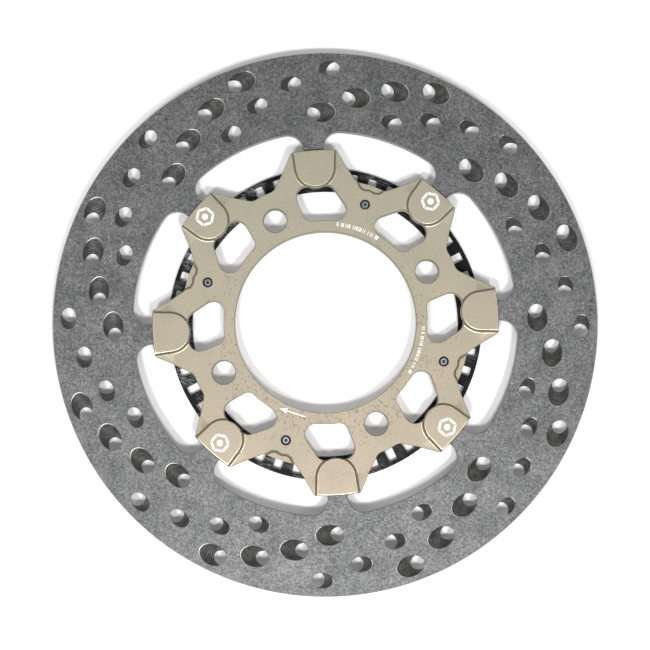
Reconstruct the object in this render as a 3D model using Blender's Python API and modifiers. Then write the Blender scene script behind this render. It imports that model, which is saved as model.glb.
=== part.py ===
"""Floating brake disc rotor for a motorcycle, modelled in Blender.

A drilled steel brake band hangs by eight tongues from an aluminium carrier. Each tongue has a
round eye that sits in a pocket behind one of the carrier's eight pads. A drive pin goes through
the eye, and a wave washer, a flat washer and a circlip close the stack from behind. A black
tone ring for the wheel speed sensor is screwed to four bosses on the carrier's back.

Metres, +Z up. The rotor lies on its back: +Z is the axle direction out of the front face, and
the origin is on the axle line at the level of the lowest face, the backs of the screw heads.
"""
import math

import bmesh
import bpy
from mathutils import Matrix, Vector

MM = 0.001
TURN = 360.0
GAP = 0.3 * MM              # space left between two pieces that touch on the real rotor
WELD = 0.000001             # merge distance for caps and seams
OVERSHOOT = 1.0 * MM        # how far a cutter runs past the face that it opens

# Brake band
BAND_OUTER_R = 128.0 * MM
BAND_INNER_R = 90.7 * MM
BAND_BOTTOM = 8.5 * MM
BAND_THICKNESS = 6.0 * MM
BAND_TOP = BAND_BOTTOM + BAND_THICKNESS
BAND_STEPS = 96

# Tongues on the band's inside, one for each arm of the carrier
ARMS = 8
ARM_PITCH = TURN / ARMS
PIN_CIRCLE_R = 74.5 * MM
EYE_R = 6.6 * MM
EYE_HOLE_R = 4.5 * MM
NECK_HALF_WIDTH = 4.7 * MM
NECK_FILLET_R = 7.5 * MM

# Slanted, tapering cooling holes. In each sector four have their large mouth in front and lean one
# way, and four have it at the back and lean the other way. Starts are angles at mid thickness.
HOLE_RADII = (120.5 * MM, 114.1 * MM, 107.3 * MM, 99.5 * MM)
HOLE_STEP = 9.07
LARGE_FRONT = {"start": 16.53, "front": 1.0, "back": 0.75, "lean": 5.65 * MM}
SMALL_FRONT = {"start": -6.03, "front": 0.75, "back": 1.0, "lean": -5.65 * MM}
HOLE_HALF_LENGTH = 6.8 * MM     # of the large mouth, along the band
HOLE_HALF_WIDTH = 4.9 * MM      # of the large mouth, across the band
HOLE_SIDES = 12

# Carrier plate
BORE_R = 42.5 * MM
PLATE_BOTTOM = 10.0 * MM
PLATE_TOP = 16.0 * MM
ARM_TIP_R = 81.3 * MM
BOLT_AXIS = 22.5            # first bolt hole; the others follow every quarter turn
SCREW_AXIS = 67.5           # first tone ring screw
QUARTERS = 4
BOLT_CIRCLE_R = 53.2 * MM
BOLT_HOLE_R = 5.45 * MM
VALLEY_CORNER_R = 4.5 * MM

# Raised pads on the arm tips, over the drive pins
PAD_TOP = 18.0 * MM
PAD_CENTRE_R = 72.75 * MM
PAD_EDGE_R = 81.0 * MM
PAD_FOOT_R = 10.0 * MM
PAD_FLARE = 5.1             # how much each side opens towards the tip
PAD_CHAMFER = 1.3 * MM
POCKET_R = 7.0 * MM
POCKET_ROOF = 14.9 * MM

# Windows through the carrier behind each pad; the pad's wall bulges into their outer edge
WINDOW_EDGE = 64.65 * MM
BULGE_R = 8.95 * MM

# Low ledge in the four valleys that have a screw
LEDGE_TOP = 13.0 * MM

# Drive pin, washers and circlip
PIN_R = 4.0 * MM
PIN_GROOVE_R = 3.4 * MM
PIN_BOTTOM = 4.3 * MM
PIN_TOP = 16.7 * MM
CIRCLIP_BOTTOM = 4.8 * MM
CIRCLIP_THICKNESS = 0.8 * MM
CIRCLIP_OUTER_R = 5.3 * MM
WASHER_BOTTOM = 5.9 * MM
WASHER_THICKNESS = 0.8 * MM
WASHER_OUTER_R = 6.6 * MM
WAVE_BOTTOM = 7.0 * MM
WAVE_SHEET = 0.5 * MM
WAVE_HEIGHT = 1.1 * MM
WAVE_LOBES = 3
PIN_STEPS = 12

# Tone ring for the wheel speed sensor, on four bosses of the carrier
RING_OUTER_R = 74.45 * MM
RING_INNER_R = 63.1 * MM
RING_BOTTOM = 2.5 * MM
RING_THICKNESS = 1.3 * MM
RING_WINDOWS = 48
RING_WINDOW_INNER_R = 65.4 * MM
RING_WINDOW_OUTER_R = 72.5 * MM
RING_WINDOW_HALF_WIDTH = 1.95 * MM
SCREW_CIRCLE_R = 58.35 * MM
EAR_R = 4.8 * MM
BOSS_R = 4.4 * MM

# Tone ring screws
SCREW_R = 2.0 * MM
SCREW_TIP_R = 1.4 * MM
SCREW_TIP_TOP = 15.7 * MM
HEAD_R = 3.6 * MM
HEAD_HEIGHT = 2.2 * MM
SOCKET_R = 1.4 * MM
SOCKET_DEPTH = 1.3 * MM
SCREW_STEPS = 16


# ---------------------------------------------------------------- scene and materials

def clear_scene():
    """Remove every object, so that the script can run again."""
    for item in list(bpy.data.objects):
        bpy.data.objects.remove(item, do_unlink=True)


def new_collection(name):
    """Make a collection under the scene."""
    group = bpy.data.collections.new(name)
    bpy.context.scene.collection.children.link(group)
    return group


def new_material(name, colour, roughness, metallic):
    """Make a plain material on a Principled BSDF."""
    material = bpy.data.materials.new(name)
    material.use_nodes = True
    shader = material.node_tree.nodes["Principled BSDF"]
    shader.inputs["Base Color"].default_value = (*colour, 1.0)
    shader.inputs["Roughness"].default_value = roughness
    shader.inputs["Metallic"].default_value = metallic
    return material


def new_frame(name, group, parent=None):
    """Make an empty on the axle line, which stands for one moving body."""
    frame = bpy.data.objects.new(name, None)
    frame.empty_display_size = 10.0 * MM
    frame.parent = parent
    group.objects.link(frame)
    return frame


def new_object(name, mesh, group, parent=None):
    """Put a mesh in the scene as a named object."""
    item = bpy.data.objects.new(name, mesh)
    group.objects.link(item)
    item.parent = parent
    return item


# ---------------------------------------------------------------- outlines

def polar(radius, degrees):
    """A point in the XY plane from its distance and its angle."""
    angle = math.radians(degrees)
    return Vector((radius * math.cos(angle), radius * math.sin(angle)))


def turned_by(points, degrees):
    """The same points turned about the axle."""
    rotation = Matrix.Rotation(math.radians(degrees), 2)
    return [rotation @ point for point in points]


def mirrored(points):
    """The same outline mirrored across the X axis, still running the same way round."""
    return [Vector((point.x, -point.y)) for point in reversed(points)]


def arc(centre, radius, start, end, steps):
    """Points along an arc, both ends included."""
    return [centre + polar(radius, start + (end - start) * i / steps) for i in range(steps + 1)]


def circle(radius, steps, centre=Vector((0.0, 0.0)), start=0.0):
    """A closed circle."""
    return [centre + polar(radius, start + TURN * i / steps) for i in range(steps)]


def rounded(corners, steps):
    """A closed polygon of (point, radius) with its corners replaced by arcs."""
    outline = []
    count = len(corners)
    for i, (point, radius) in enumerate(corners):
        before = corners[i - 1][0]
        after = corners[(i + 1) % count][0]
        outline += rounded_corner(before, point, after, radius, steps)
    return outline


def rounded_corner(before, corner, after, radius, steps):
    """The arc that rounds one corner of a polygon; radius 0 keeps the corner."""
    if radius == 0:
        return [corner]
    back = (before - corner).normalized()
    forward = (after - corner).normalized()
    half = math.acos(max(-1.0, min(1.0, back.dot(forward)))) / 2
    centre = corner + (back + forward).normalized() * (radius / math.sin(half))
    reach = radius / math.tan(half)
    first = corner + back * reach - centre
    last = corner + forward * reach - centre
    sweep = math.atan2(first.x * last.y - first.y * last.x, first.dot(last))
    return [centre + Matrix.Rotation(sweep * i / steps, 2) @ first for i in range(steps + 1)]


# ---------------------------------------------------------------- solids

def baked(item, group, name):
    """Turn a curve or a modified object into a plain closed mesh object; the source is removed."""
    bpy.context.view_layer.update()
    depsgraph = bpy.context.evaluated_depsgraph_get()
    mesh = bpy.data.meshes.new_from_object(item.evaluated_get(depsgraph))
    shape = bmesh.new()
    shape.from_mesh(mesh)
    bmesh.ops.remove_doubles(shape, verts=shape.verts, dist=WELD)
    bmesh.ops.recalc_face_normals(shape, faces=shape.faces)
    shape.to_mesh(mesh)
    shape.free()
    mesh.name = name
    mesh.transform(item.matrix_world)
    bpy.data.objects.remove(item, do_unlink=True)
    return new_object(name, mesh, group)


def extruded(name, group, outlines, bottom, top, chamfer=0.0):
    """A flat plate between two heights; outlines inside the first one are holes."""
    curve = bpy.data.curves.new(name, "CURVE")
    curve.dimensions = "2D"
    curve.fill_mode = "BOTH"
    for outline in outlines:
        spline = curve.splines.new("POLY")
        spline.points.add(len(outline) - 1)
        for target, point in zip(spline.points, outline):
            target.co = (point.x, point.y, 0.0, 1.0)
        spline.use_cyclic_u = True
    curve.extrude = (top - bottom) / 2 - chamfer
    curve.bevel_depth = chamfer
    curve.bevel_resolution = 0
    curve.offset = -chamfer
    plate = bpy.data.objects.new(name, curve)
    plate.location.z = (top + bottom) / 2
    group.objects.link(plate)
    return baked(plate, group, name)


def turned(name, group, profile, steps):
    """A solid of revolution about Z from a profile of (radius, height), running top to bottom."""
    mesh = bpy.data.meshes.new(name)
    edges = [(i, i + 1) for i in range(len(profile) - 1)]
    mesh.from_pydata([(radius, 0.0, height) for radius, height in profile], edges, [])
    source = bpy.data.objects.new(name, mesh)
    group.objects.link(source)
    screw = source.modifiers.new("Screw", "SCREW")
    screw.steps = steps
    screw.render_steps = steps
    screw.use_merge_vertices = True
    screw.merge_threshold = WELD
    screw.use_smooth_shade = False
    return baked(source, group, name)


def ring_profile(inner, outer, bottom, top):
    """The closed profile of a flat ring."""
    return [(inner, top), (outer, top), (outer, bottom), (inner, bottom), (inner, top)]


def joined_copies(name, group, solid, matrices):
    """One object that holds a copy of a solid at each matrix; the source is removed."""
    shape = bmesh.new()
    for matrix in matrices:
        copy = solid.data.copy()
        copy.transform(matrix)
        shape.from_mesh(copy)
        bpy.data.meshes.remove(copy)
    mesh = bpy.data.meshes.new(name)
    shape.to_mesh(mesh)
    shape.free()
    bpy.data.objects.remove(solid, do_unlink=True)
    return new_object(name, mesh, group)


def around_axle(count, start=0.0):
    """Matrices that repeat a solid evenly about the axle."""
    return [Matrix.Rotation(math.radians(start + TURN * i / count), 4, "Z") for i in range(count)]


def combine(target, tool, operation):
    """Cut a tool out of a solid, or add it, with a Boolean that stays on the solid."""
    boolean = target.modifiers.new(tool.name, "BOOLEAN")
    boolean.operation = operation
    boolean.solver = "EXACT"
    boolean.object = tool
    tool.hide_render = True
    tool.display_type = "WIRE"


def shared_mesh(master):
    """The mesh of a solid that several pieces will share; its own object is removed."""
    mesh = master.data
    bpy.data.objects.remove(master, do_unlink=True)
    return mesh


# ---------------------------------------------------------------- brake band

def tongue_edge():
    """The edge of one tongue, which points towards the axle from +X, in order of angle."""
    fillet_y = NECK_HALF_WIDTH + NECK_FILLET_R
    fillet_x = math.sqrt((BAND_INNER_R - NECK_FILLET_R) ** 2 - fillet_y ** 2)
    fillet = Vector((fillet_x, fillet_y))
    eye = Vector((PIN_CIRCLE_R, 0.0))
    between = fillet - eye
    lean = math.degrees(math.acos((EYE_R + NECK_FILLET_R) / between.length))
    tangent = math.degrees(math.atan2(between.y, between.x)) + lean
    meets_band = TURN + math.degrees(math.atan2(fillet.y, fillet.x))
    upper = arc(fillet, NECK_FILLET_R, tangent + TURN / 2, meets_band, 6)
    tip = arc(eye, EYE_R, -tangent, tangent - TURN, 9)
    return mirrored(upper) + tip + upper


def band_inside():
    """The band's inner outline: tongues joined by arcs."""
    edge = tongue_edge()
    end = math.degrees(math.atan2(edge[-1].y, edge[-1].x))
    window = arc(Vector((0.0, 0.0)), BAND_INNER_R, end, ARM_PITCH - end, 8)[1:-1]
    outline = []
    for arm in range(ARMS):
        outline += turned_by(edge + window, arm * ARM_PITCH)
    return outline


def slanted_drill(name, group, kind):
    """A leaning, tapering drill for one kind of hole, centred at mid thickness."""
    half_depth = BAND_THICKNESS / 2
    reach = half_depth + OVERSHOOT
    shape = bmesh.new()
    rims = []
    for height in (-reach, reach):
        share = height / BAND_THICKNESS
        scale = (kind["front"] + kind["back"]) / 2 + (kind["front"] - kind["back"]) * share
        rim = []
        for i in range(HOLE_SIDES):
            angle = math.tau * (i + 0.5) / HOLE_SIDES
            across = HOLE_HALF_WIDTH * scale * math.cos(angle)
            along = HOLE_HALF_LENGTH * scale * math.sin(angle) - kind["lean"] * share
            rim.append(shape.verts.new((across, along, height)))
        rims.append(rim)
    bottom, top = rims
    for i in range(HOLE_SIDES):
        j = (i + 1) % HOLE_SIDES
        shape.faces.new((bottom[i], bottom[j], top[j], top[i]))
    shape.faces.new(top)
    shape.faces.new(list(reversed(bottom)))
    mesh = bpy.data.meshes.new(name)
    shape.to_mesh(mesh)
    shape.free()
    return new_object(name, mesh, group)


def hole_places(kind):
    """Where one kind of hole goes: four radii in each sector, stepping round the band."""
    places = []
    middle = (BAND_BOTTOM + BAND_TOP) / 2
    for sector in range(ARMS):
        for i, radius in enumerate(HOLE_RADII):
            degrees = kind["start"] + HOLE_STEP * i + ARM_PITCH * sector
            turn = Matrix.Rotation(math.radians(degrees), 4, "Z")
            places.append(turn @ Matrix.Translation((radius, 0.0, middle)))
    return places


def make_band(group, cutters, frame, steel):
    """The drilled brake band with its tongues."""
    outlines = [circle(BAND_OUTER_R, BAND_STEPS), band_inside()]
    for arm in range(ARMS):
        outlines.append(circle(EYE_HOLE_R, 16, polar(PIN_CIRCLE_R, arm * ARM_PITCH)))
    band = extruded("brake_band", group, outlines, BAND_BOTTOM, BAND_TOP)
    for name, kind in (("front_drills", LARGE_FRONT), ("back_drills", SMALL_FRONT)):
        drill = slanted_drill(name + "_one", cutters, kind)
        drills = joined_copies(name, cutters, drill, hole_places(kind))
        combine(band, drills, "DIFFERENCE")
    band.data.materials.append(steel)
    band.parent = frame


# ---------------------------------------------------------------- carrier

def arm_corners():
    """Corners of one arm, from the bolt valley at its right to the screw valley at its left."""
    return [
        (polar(66.45 * MM, -BOLT_AXIS), 6.0 * MM),
        (polar(66.25 * MM, -17.8), VALLEY_CORNER_R),
        (polar(73.55 * MM, -11.85), VALLEY_CORNER_R),
        (polar(ARM_TIP_R, -7.7), 1.2 * MM),
        (polar(ARM_TIP_R, -3.5), 0.0),
        (polar(ARM_TIP_R, 0.0), 0.0),
        (polar(ARM_TIP_R, 3.5), 0.0),
        (polar(ARM_TIP_R, 7.7), 1.2 * MM),
        (polar(73.55 * MM, 11.85), VALLEY_CORNER_R),
        (polar(68.05 * MM, 16.1), 1.5 * MM),
        (polar(68.05 * MM, 20.5), 0.0),
    ]


def carrier_outline():
    """The carrier's outer edge: eight arms, alternately mirrored."""
    arm = arm_corners()
    other = [(Vector((point.x, -point.y)), radius) for point, radius in reversed(arm[1:])]
    corners = []
    for quarter in range(QUARTERS):
        for shape, degrees in ((arm, ARM_PITCH), (other, 2 * ARM_PITCH)):
            turn = Matrix.Rotation(math.radians(degrees + quarter * TURN / QUARTERS), 2)
            corners += [(turn @ point, radius) for point, radius in shape]
    return rounded(corners, 4)


def window_outline():
    """The window behind the pad at +X, with the bolt hole on its right and the screw on its left."""
    corners = [
        (Vector((WINDOW_EDGE, -11.7 * MM)), 5.3 * MM),
        (Vector((47.65 * MM, -5.95 * MM)), 4.0 * MM),
        (Vector((47.9 * MM, 0.5 * MM)), 0.0),
        (Vector((46.45 * MM, 17.65 * MM)), 5.1 * MM),
        (Vector((WINDOW_EDGE, 6.95 * MM)), 5.0 * MM),
    ]
    half = math.degrees(math.acos((PAD_CENTRE_R - WINDOW_EDGE) / BULGE_R))
    bulge = arc(Vector((PAD_CENTRE_R, 0.0)), BULGE_R, TURN / 2 - half, TURN / 2 + half, 4)
    return rounded(corners, 4) + bulge


def window_tool(cutters):
    """Cutters for all eight windows, alternately mirrored like the arms."""
    window = window_outline()
    solids = []
    for name, outline, start in (("windows", window, ARM_PITCH), ("other_windows", mirrored(window), 0.0)):
        bottom = PLATE_BOTTOM - OVERSHOOT
        cutter = extruded(name + "_one", cutters, [outline], bottom, PAD_TOP + OVERSHOOT)
        solids.append(joined_copies(name, cutters, cutter, around_axle(QUARTERS, start)))
    return solids


def pad_tool(cutters):
    """Eight raised pads: round towards the axle, opening outwards and cut round at the arm's tip."""
    centre = Vector((PAD_CENTRE_R, 0.0))
    reach = 12.0 * MM
    flare = math.radians(PAD_FLARE)
    end_half = PAD_FOOT_R / math.cos(flare) + reach * math.tan(flare)
    outline = arc(centre, PAD_FOOT_R, TURN / 4 + PAD_FLARE, 3 * TURN / 4 - PAD_FLARE, 12)
    outline += [centre + Vector((reach, -end_half)), centre + Vector((reach, end_half))]
    foot = PLATE_TOP - 2 * PAD_CHAMFER - OVERSHOOT
    pad = extruded("pad_one", cutters, [outline], foot, PAD_TOP, PAD_CHAMFER)
    pads = joined_copies("pads", cutters, pad, around_axle(ARMS))
    far = ARM_TIP_R + reach
    ring = [circle(far, BAND_STEPS), circle(PAD_EDGE_R, BAND_STEPS)]
    trim = extruded("pad_trim", cutters, ring, foot - OVERSHOOT, PAD_TOP + OVERSHOOT)
    combine(pads, trim, "DIFFERENCE")
    return pads


def pocket_tool(cutters):
    """Eight pockets under the pads, open outwards and to the back, for the band's tongues."""
    centre = Vector((PIN_CIRCLE_R, 0.0))
    mouth = ARM_TIP_R + OVERSHOOT
    outline = arc(centre, POCKET_R, TURN / 4, 3 * TURN / 4, 10)
    outline += [Vector((mouth, -POCKET_R)), Vector((mouth, POCKET_R))]
    pocket = extruded("pocket_one", cutters, [outline], PLATE_BOTTOM - OVERSHOOT, POCKET_ROOF)
    return joined_copies("pockets", cutters, pocket, around_axle(ARMS))


def ledge_tool(cutters):
    """Four cutters that leave a low ledge in the valleys with a screw."""
    corners = [
        (polar(65.2 * MM, 0.0), 1.5 * MM),
        (polar(64.65 * MM, -2.3), 1.5 * MM),
        (polar(65.3 * MM, -4.1), 1.0 * MM),
        (polar(68.3 * MM, -6.2), 0.0),
        (polar(78.0 * MM, -5.5), 0.0),
        (polar(78.0 * MM, 5.5), 0.0),
        (polar(68.3 * MM, 6.2), 0.0),
        (polar(65.3 * MM, 4.1), 1.0 * MM),
        (polar(64.65 * MM, 2.3), 1.5 * MM),
    ]
    outline = rounded(corners, 2)
    ledge = extruded("ledge_one", cutters, [outline], LEDGE_TOP, PLATE_TOP + OVERSHOOT)
    return joined_copies("ledges", cutters, ledge, around_axle(QUARTERS, SCREW_AXIS))


def pillars(name, cutters, radius, steps, centre_r, bottom, top, matrices):
    """Upright round posts or drills at one distance from the axle."""
    outline = circle(radius, steps, Vector((centre_r, 0.0)))
    post = extruded(name + "_one", cutters, [outline], bottom, top)
    return joined_copies(name, cutters, post, matrices)


def make_carrier(group, cutters, frame, aluminium):
    """The carrier: plate, raised pads, pockets, ledges, bosses and its holes."""
    outlines = [carrier_outline(), circle(BORE_R, 64)]
    for quarter in range(QUARTERS):
        centre = polar(BOLT_CIRCLE_R, BOLT_AXIS + quarter * TURN / QUARTERS)
        outlines.append(circle(BOLT_HOLE_R, 16, centre))
    carrier = extruded("carrier", group, outlines, PLATE_BOTTOM, PLATE_TOP)
    at_screws = around_axle(QUARTERS, SCREW_AXIS)
    boss_bottom = RING_BOTTOM + RING_THICKNESS + GAP
    bosses = pillars("bosses", cutters, BOSS_R, 16, SCREW_CIRCLE_R, boss_bottom,
                     PLATE_BOTTOM + OVERSHOOT, at_screws)
    combine(carrier, pad_tool(cutters), "UNION")
    combine(carrier, bosses, "UNION")
    for windows in window_tool(cutters):
        combine(carrier, windows, "DIFFERENCE")
    combine(carrier, ledge_tool(cutters), "DIFFERENCE")
    combine(carrier, pocket_tool(cutters), "DIFFERENCE")
    pin_drills = pillars("pin_drills", cutters, PIN_R + GAP, PIN_STEPS, PIN_CIRCLE_R,
                         POCKET_ROOF - OVERSHOOT, PIN_TOP + GAP, around_axle(ARMS))
    combine(carrier, pin_drills, "DIFFERENCE")
    screw_drills = pillars("screw_drills", cutters, SCREW_R + GAP, SCREW_STEPS, SCREW_CIRCLE_R,
                           boss_bottom - OVERSHOOT, PLATE_TOP + OVERSHOOT, at_screws)
    combine(carrier, screw_drills, "DIFFERENCE")
    carrier.data.materials.append(aluminium)
    carrier.parent = frame


# ---------------------------------------------------------------- tone ring and screws

def ring_inside():
    """The tone ring's inner edge, with an ear towards the axle at each screw."""
    ear_end = math.degrees(math.asin(EAR_R / RING_INNER_R))
    quarter = TURN / QUARTERS
    outline = []
    for i in range(QUARTERS):
        axis = SCREW_AXIS + i * quarter
        ear = arc(Vector((SCREW_CIRCLE_R, 0.0)), EAR_R, -TURN / 4, -3 * TURN / 4, 8)
        outline += turned_by(ear, axis)
        outline += arc(Vector((0.0, 0.0)), RING_INNER_R, axis + ear_end, axis + quarter - ear_end, 22)
    return outline


def make_tone_ring(group, frame, plastic):
    """The black ring whose windows the wheel speed sensor counts."""
    outlines = [circle(RING_OUTER_R, BAND_STEPS), ring_inside()]
    w = RING_WINDOW_HALF_WIDTH
    window = [
        Vector((RING_WINDOW_INNER_R, -w)),
        Vector((RING_WINDOW_OUTER_R, -w)),
        Vector((RING_WINDOW_OUTER_R, w)),
        Vector((RING_WINDOW_INNER_R, w)),
    ]
    for i in range(RING_WINDOWS):
        outlines.append(turned_by(window, BOLT_AXIS + TURN * i / RING_WINDOWS))
    for i in range(QUARTERS):
        centre = polar(SCREW_CIRCLE_R, SCREW_AXIS + i * TURN / QUARTERS)
        outlines.append(circle(SCREW_R + GAP, SCREW_STEPS, centre))
    ring = extruded("abs_tone_ring", group, outlines, RING_BOTTOM, RING_BOTTOM + RING_THICKNESS)
    ring.data.materials.append(plastic)
    ring.parent = frame


def make_screws(group, cutters, frame, steel):
    """Four screws from the back; their chamfered tips show at the carrier's front."""
    chamfer = SCREW_R - SCREW_TIP_R
    profile = [
        (0.0, SCREW_TIP_TOP),
        (SCREW_TIP_R, SCREW_TIP_TOP),
        (SCREW_R, SCREW_TIP_TOP - chamfer),
        (SCREW_R, HEAD_HEIGHT),
        (HEAD_R, HEAD_HEIGHT),
        (HEAD_R, 0.0),
        (0.0, 0.0),
    ]
    master = turned("screw_master", cutters, profile, SCREW_STEPS)
    socket = extruded("sockets_one", cutters, [circle(SOCKET_R, 6)], -OVERSHOOT, SOCKET_DEPTH)
    combine(master, socket, "DIFFERENCE")
    screw_mesh = shared_mesh(baked(master, cutters, "screw_shape"))
    screw_mesh.materials.append(steel)
    for i in range(QUARTERS):
        screw = new_object("tone_ring_screw_%d" % (i + 1), screw_mesh, group, frame)
        place = polar(SCREW_CIRCLE_R, SCREW_AXIS + i * TURN / QUARTERS)
        screw.location = (place.x, place.y, 0.0)
        screw.rotation_euler.z = math.radians(SCREW_AXIS + i * TURN / QUARTERS)


# ---------------------------------------------------------------- drive pins and their washers

def drive_pin(cutters):
    """A drive pin with a groove for its circlip and chamfered ends."""
    chamfer = 0.3 * MM
    groove_top = CIRCLIP_BOTTOM + CIRCLIP_THICKNESS + GAP
    groove_bottom = CIRCLIP_BOTTOM - GAP
    profile = [
        (0.0, PIN_TOP),
        (PIN_R - chamfer, PIN_TOP),
        (PIN_R, PIN_TOP - chamfer),
        (PIN_R, groove_top),
        (PIN_GROOVE_R, groove_top),
        (PIN_GROOVE_R, groove_bottom),
        (PIN_R, groove_bottom),
        (PIN_R, PIN_BOTTOM),
        (0.0, PIN_BOTTOM),
    ]
    return turned("pin_shape", cutters, profile, PIN_STEPS)


def flat_washer(cutters):
    """A flat washer."""
    profile = ring_profile(PIN_R + GAP, WASHER_OUTER_R, WASHER_BOTTOM, WASHER_BOTTOM + WASHER_THICKNESS)
    return turned("washer_shape", cutters, profile, PIN_STEPS)


def wave_washer(cutters):
    """A wave washer: a thin ring bent up and down three times round its circle."""
    profile = ring_profile(PIN_R + GAP, WASHER_OUTER_R, WAVE_BOTTOM, WAVE_BOTTOM + WAVE_SHEET)
    ring = turned("wave_shape", cutters, profile, 2 * PIN_STEPS)
    swing = (WAVE_HEIGHT - WAVE_SHEET) / 2
    for vertex in ring.data.vertices:
        angle = math.atan2(vertex.co.y, vertex.co.x)
        vertex.co.z += swing * (1 + math.cos(WAVE_LOBES * angle))
    return ring


def circlip(cutters):
    """An open retaining ring that springs into the pin's groove."""
    inner = PIN_GROOVE_R + GAP
    opening = 26.0
    centre = Vector((0.0, 0.0))
    outline = arc(centre, CIRCLIP_OUTER_R, opening, TURN - opening, 12)
    outline += arc(centre, inner, TURN - opening, opening, 12)
    top = CIRCLIP_BOTTOM + CIRCLIP_THICKNESS
    return extruded("circlip_shape", cutters, [outline], CIRCLIP_BOTTOM, top)


def make_pin_stacks(group, cutters, carrier_frame, play_frame, steels):
    """A pin, a circlip, a flat washer and a wave washer for each of the eight tongues."""
    kinds = (
        ("drive_pin", drive_pin, carrier_frame, steels["pin"]),
        ("circlip", circlip, carrier_frame, steels["circlip"]),
        ("flat_washer", flat_washer, carrier_frame, steels["washer"]),
        ("wave_washer", wave_washer, play_frame, steels["wave"]),
    )
    for name, make_master, frame, material in kinds:
        mesh = shared_mesh(make_master(cutters))
        mesh.materials.append(material)
        for arm in range(ARMS):
            item = new_object("%s_%d" % (name, arm + 1), mesh, group, frame)
            place = polar(PIN_CIRCLE_R, arm * ARM_PITCH)
            item.location = (place.x, place.y, 0.0)
            item.rotation_euler.z = math.radians(arm * ARM_PITCH)


# ---------------------------------------------------------------- the whole rotor

def shade(group):
    """Shade the round sides smooth and keep the edges sharp."""
    for item in group.objects:
        if item.type == "MESH":
            item.data.shade_smooth()
            item.data.set_sharp_from_angle(angle=math.radians(30.0))


def main():
    """Build the rotor in its collection, with the cutters in another."""
    clear_scene()
    group = new_collection("floating_brake_rotor")
    cutters = new_collection("cutters")
    carrier_frame = new_frame("carrier_frame", group)
    play_frame = new_frame("play_frame", group, carrier_frame)
    float_frame = new_frame("float_frame", group, play_frame)
    band_steel = new_material("band_steel", (0.20, 0.21, 0.22), 0.5, 1.0)
    anodised = new_material("anodised_aluminium", (0.50, 0.45, 0.36), 0.45, 1.0)
    plastic = new_material("tone_ring_black", (0.015, 0.015, 0.016), 0.55, 0.0)
    steels = {
        "pin": new_material("pin_steel", (0.42, 0.42, 0.43), 0.35, 1.0),
        "circlip": new_material("circlip_black", (0.05, 0.05, 0.05), 0.45, 1.0),
        "washer": new_material("washer_zinc", (0.55, 0.55, 0.56), 0.35, 1.0),
        "wave": new_material("spring_steel", (0.30, 0.30, 0.32), 0.3, 1.0),
        "screw": new_material("screw_steel", (0.60, 0.62, 0.65), 0.3, 1.0),
    }
    make_band(group, cutters, float_frame, band_steel)
    make_carrier(group, cutters, carrier_frame, anodised)
    make_tone_ring(group, carrier_frame, plastic)
    make_screws(group, cutters, carrier_frame, steels["screw"])
    make_pin_stacks(group, cutters, carrier_frame, play_frame, steels)
    shade(group)


main()
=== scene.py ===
"""Looks of a floating motorcycle brake disc rotor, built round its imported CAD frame.

Every CAD node is replaced by a fine mesh of the same piece in the same place. Lengths are in
metres through MM, angles in degrees, +Z runs along the axle out of the front face.
"""
import math
import random

import bmesh
import bpy
from mathutils import Matrix, Vector
from mathutils.geometry import delaunay_2d_cdt


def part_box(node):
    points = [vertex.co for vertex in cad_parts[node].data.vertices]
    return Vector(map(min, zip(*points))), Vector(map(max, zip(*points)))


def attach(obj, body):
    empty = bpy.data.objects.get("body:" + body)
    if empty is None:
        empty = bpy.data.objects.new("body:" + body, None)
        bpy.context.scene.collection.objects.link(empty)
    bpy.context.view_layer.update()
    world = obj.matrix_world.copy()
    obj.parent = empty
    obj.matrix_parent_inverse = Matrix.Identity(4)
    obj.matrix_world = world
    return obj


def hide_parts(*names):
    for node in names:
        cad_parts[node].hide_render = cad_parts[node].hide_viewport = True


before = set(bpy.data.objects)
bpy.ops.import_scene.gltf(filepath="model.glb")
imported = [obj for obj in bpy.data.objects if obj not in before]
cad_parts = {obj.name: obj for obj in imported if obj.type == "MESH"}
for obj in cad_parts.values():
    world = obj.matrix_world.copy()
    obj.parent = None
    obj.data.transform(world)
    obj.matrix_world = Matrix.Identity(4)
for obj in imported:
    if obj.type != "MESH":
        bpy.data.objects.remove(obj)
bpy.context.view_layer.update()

MM = 0.001
TURN = 360.0
TURN_RADIANS = math.tau
SEED = 7
SHARP_ANGLE = 32.0
CAP_TOLERANCE = 0.000001    # in millimetres, for the caps' triangles
OVERSHOOT = 1.0 * MM        # how far a cutter runs past the face that it opens
ORIGIN = Vector((0.0, 0.0))

# Heights, read from the frame
BAND_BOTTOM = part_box("brake_band")[0].z
BAND_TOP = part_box("brake_band")[1].z
BAND_OUTER_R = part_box("brake_band")[1].x
RING_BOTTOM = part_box("abs_tone_ring")[0].z
RING_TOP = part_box("abs_tone_ring")[1].z
RING_OUTER_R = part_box("abs_tone_ring")[1].x
PAD_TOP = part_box("carrier")[1].z
BOSS_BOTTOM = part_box("carrier")[0].z
SCREW_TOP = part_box("tone_ring_screw_1")[1].z
PIN_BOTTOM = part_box("drive_pin_1")[0].z
PIN_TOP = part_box("drive_pin_1")[1].z
CIRCLIP_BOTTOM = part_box("circlip_1")[0].z
CIRCLIP_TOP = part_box("circlip_1")[1].z
WASHER_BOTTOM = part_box("flat_washer_1")[0].z
WASHER_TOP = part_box("flat_washer_1")[1].z
WAVE_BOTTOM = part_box("wave_washer_1")[0].z
WAVE_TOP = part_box("wave_washer_1")[1].z

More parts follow.
